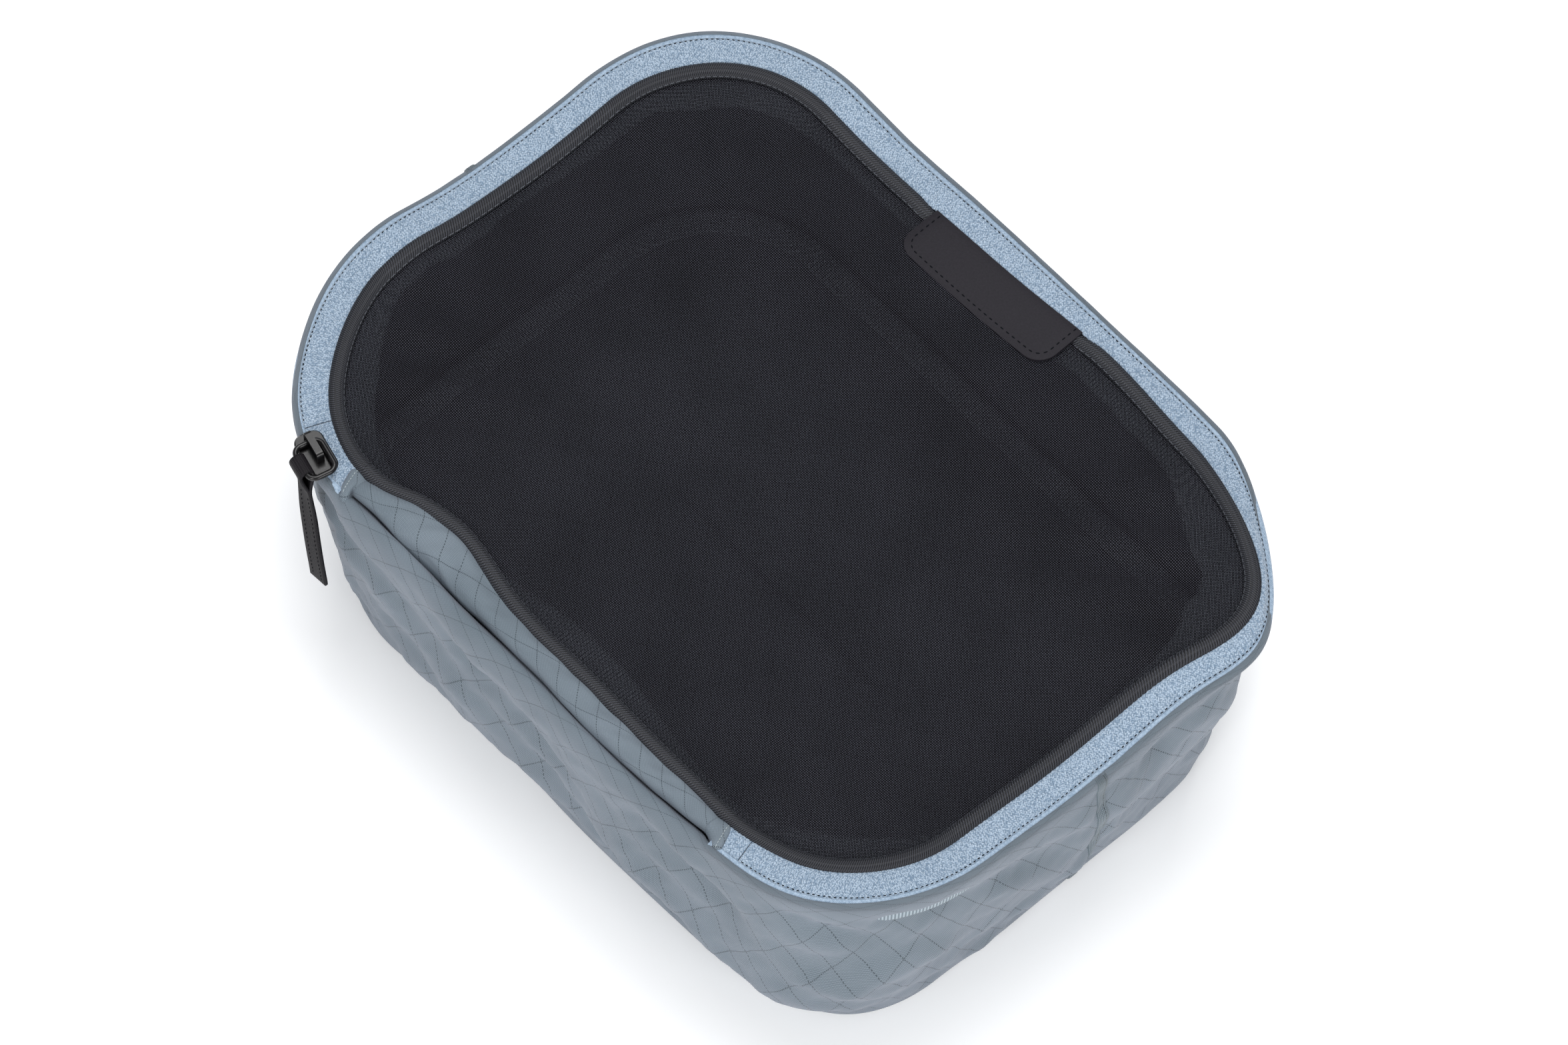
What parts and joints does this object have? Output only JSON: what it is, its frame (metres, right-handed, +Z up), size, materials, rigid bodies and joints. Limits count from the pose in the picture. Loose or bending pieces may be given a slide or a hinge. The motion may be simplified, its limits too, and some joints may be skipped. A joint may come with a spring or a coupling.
{
  "type": "packing cube",
  "caption": "Soft rectangular packing cube: fabric walls and floor, see-through mesh lid hinged on a long side, zip round the other three sides.",
  "frame": {"origin": "centre of the bottom panel's underside", "axes": "+X along the long side towards the zip's closed end, +Y from the lid's hinge side to the patch side, +Z up"},
  "size_m": [0.261, 0.2006, 0.0842],
  "materials": {
    "body_fabric": "woven nylon with a diamond ripstop thread, slight sheen",
    "lid_mesh": "fine open knitted mesh, see-through",
    "mesh_edge": "ribbed rolled mesh edge",
    "zip_tape": "textured woven zip tape",
    "zip_coil": "nylon coil",
    "binding_tape": "ribbed grosgrain tape",
    "pale_thread": "polyester thread",
    "dark_thread": "polyester thread",
    "patch_rubber": "smooth moulded patch with a fine grain",
    "slider_metal": "black semi-gloss coating",
    "strap_webbing": "close-woven strap"
  },
  "bodies": {
    "body": {"bottom_panel": "body_fabric", "bottom_seam_binding": "binding_tape", "gusset_front": "body_fabric", "gusset_back": "body_fabric", "side_seam_left": "body_fabric", "side_seam_right": "body_fabric", "rim_seam_binding": "binding_tape", "zip_tape_lower": "zip_tape", "zip_coil_lower": "zip_coil", "zip_tape_end_left": "zip_tape", "zip_tape_end_right": "zip_tape", "zip_coil_end_left": "zip_coil", "zip_coil_end_right": "zip_coil", "zip_end_stops": "zip_coil", "hinge_strip_lower": "body_fabric", "hinge_end_cap_left": "body_fabric", "hinge_end_cap_right": "body_fabric", "hinge_cap_stitching": "pale_thread"},
    "lid": {"mesh_panel": "lid_mesh", "lid_edge_roll": "mesh_edge", "lid_seam_binding": "binding_tape", "zip_tape_upper": "zip_tape", "zip_coil_upper": "zip_coil", "zip_stitching": "dark_thread", "hinge_strip_upper": "body_fabric", "label_patch": "patch_rubber", "patch_stitching": "dark_thread"},
    "slider": {"slider_body": "slider_metal", "slider_bridge": "slider_metal"},
    "ring": {"pull_ring": "slider_metal"},
    "strap": {"pull_strap": "strap_webbing", "strap_stitching": "dark_thread"}
  },
  "joints": [
    {"name": "lid_hinge", "type": "hinge", "parent": "body", "child": "lid", "pos_m": [0, -0.09825, 0.0789], "axis": [1, 0, 0], "range_deg": [0, 180]},
    {"name": "slider_travel", "type": "hinge", "parent": "body", "child": "slider", "pos_m": [-0.074, -0.04225, 0.0789], "axis": [0, 0, -1], "range_deg": [0, 75]},
    {"name": "ring_pivot", "type": "hinge", "parent": "slider", "child": "ring", "pos_m": [-0.08948, -0.09304, 0.0817], "axis": [-0.2334, -0.9724, 0], "range_deg": [0, 180]},
    {"name": "strap_pivot", "type": "hinge", "parent": "ring", "child": "strap", "pos_m": [-0.08535, -0.09979, 0.0817], "axis": [-0.9724, 0.2334, 0], "range_deg": [0, 60]}
  ]
}
